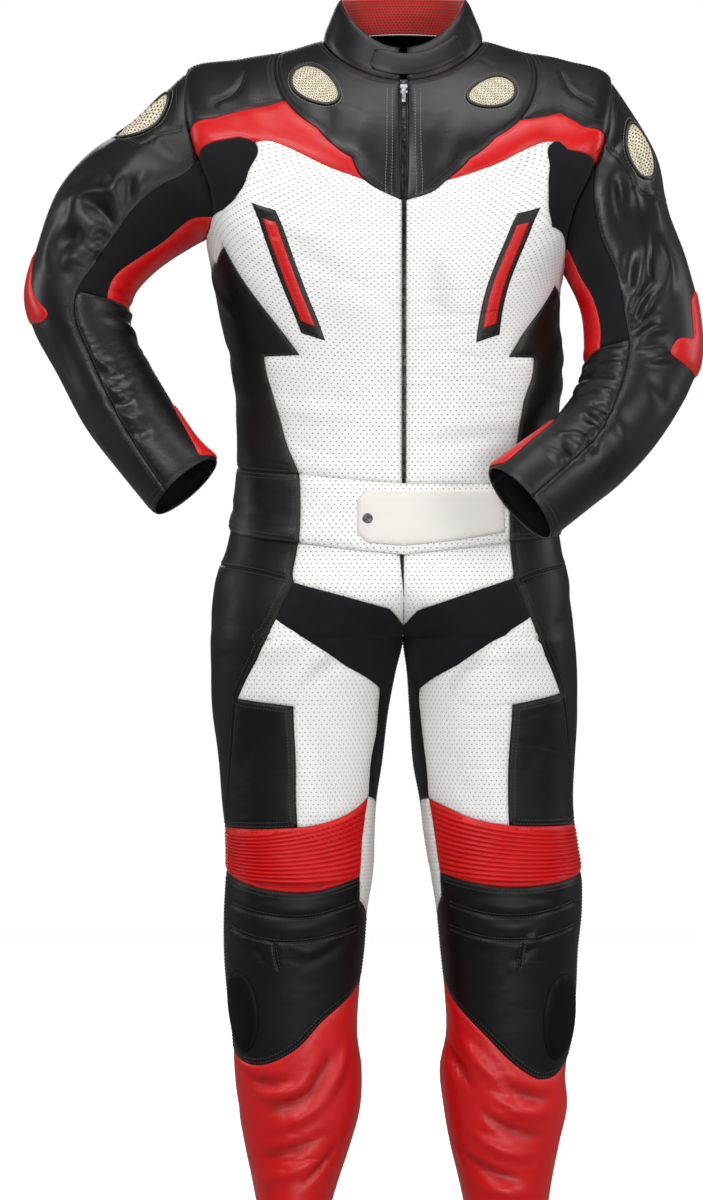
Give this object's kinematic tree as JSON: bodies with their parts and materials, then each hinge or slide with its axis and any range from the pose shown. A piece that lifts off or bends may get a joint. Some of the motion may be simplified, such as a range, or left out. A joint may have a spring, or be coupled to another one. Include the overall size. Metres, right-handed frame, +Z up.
{
  "type": "motorcycle race suit",
  "caption": "Two-piece leather motorcycle race suit in black, white and red, held as it is worn, with open collar, cuffs and hems.",
  "frame": {"origin": "centre of the neck opening at the foot of the collar, where the wearer holds the suit up", "axes": "+Z up towards the collar, -Y out of the chest, +X towards the wearer's left sleeve"},
  "size_m": [0.8543, 0.3683, 1.5458],
  "materials": {
    "black_leather": "satin",
    "white_leather": "satin",
    "red_leather": "satin",
    "black_stretch": "matte, ribbed",
    "red_lining": "matte, woven",
    "vent_mesh": "ribbed mesh",
    "zip_tape": "woven",
    "dark_metal": "satin"
  },
  "bodies": {
    "suit": {"yoke_R": "black_leather", "chest_vent_R": "vent_mesh", "shoulder_R": "black_leather", "chevron_R": "red_leather", "chest_stretch_R": "black_stretch", "chest_R": "white_leather", "bar_R": "black_leather", "side_R": "black_leather", "yoke_L": "black_leather", "chest_vent_L": "vent_mesh", "shoulder_L": "black_leather", "chevron_L": "red_leather", "chest_stretch_L": "black_stretch", "chest_L": "white_leather", "bar_L": "black_leather", "side_L": "black_leather", "back": "black_leather", "band_front": "white_leather", "belt_strap": "white_leather", "band_back": "black_leather", "zip_tape": "zip_tape", "collar": "black_leather", "collar_lining": "red_lining", "collar_tab": "black_leather", "sleeve_R": "black_leather", "elbow_patch_R": "red_leather", "sleeve_vent_R": "vent_mesh", "sleeve_stretch_R": "black_stretch", "sleeve_stripe_R": "red_leather", "forearm_R": "black_leather", "cuff_patch_R": "red_leather", "sleeve_L": "black_leather", "elbow_patch_L": "red_leather", "sleeve_vent_L": "vent_mesh", "sleeve_stretch_L": "black_stretch", "sleeve_stripe_L": "red_leather", "forearm_L": "black_leather", "cuff_patch_L": "red_leather", "trouser_front_R": "white_leather", "fly": "zip_tape", "groin_R": "black_stretch", "thigh_front_R": "white_leather", "thigh_outer_R": "black_leather", "knee_accordion_R": "red_leather", "knee_strip_R": "white_leather", "knee_R": "black_leather", "knee_pad_R": "black_stretch", "shin_R": "red_leather", "trouser_front_L": "white_leather", "groin_L": "black_stretch", "thigh_front_L": "white_leather", "thigh_outer_L": "black_leather", "knee_accordion_L": "red_leather", "knee_strip_L": "white_leather", "knee_L": "black_leather", "knee_pad_L": "black_stretch", "shin_L": "red_leather", "belt_snap": "dark_metal", "zip_slider": "dark_metal"},
    "zip_pull": {"zip_pull": "dark_metal"}
  },
  "joints": [
    {"name": "zip_pull_hinge", "type": "hinge", "parent": "suit", "child": "zip_pull", "pos_m": [0, -0.09535, -0.0435], "axis": [-1, 0, 0], "range_deg": [0, 110]}
  ]
}
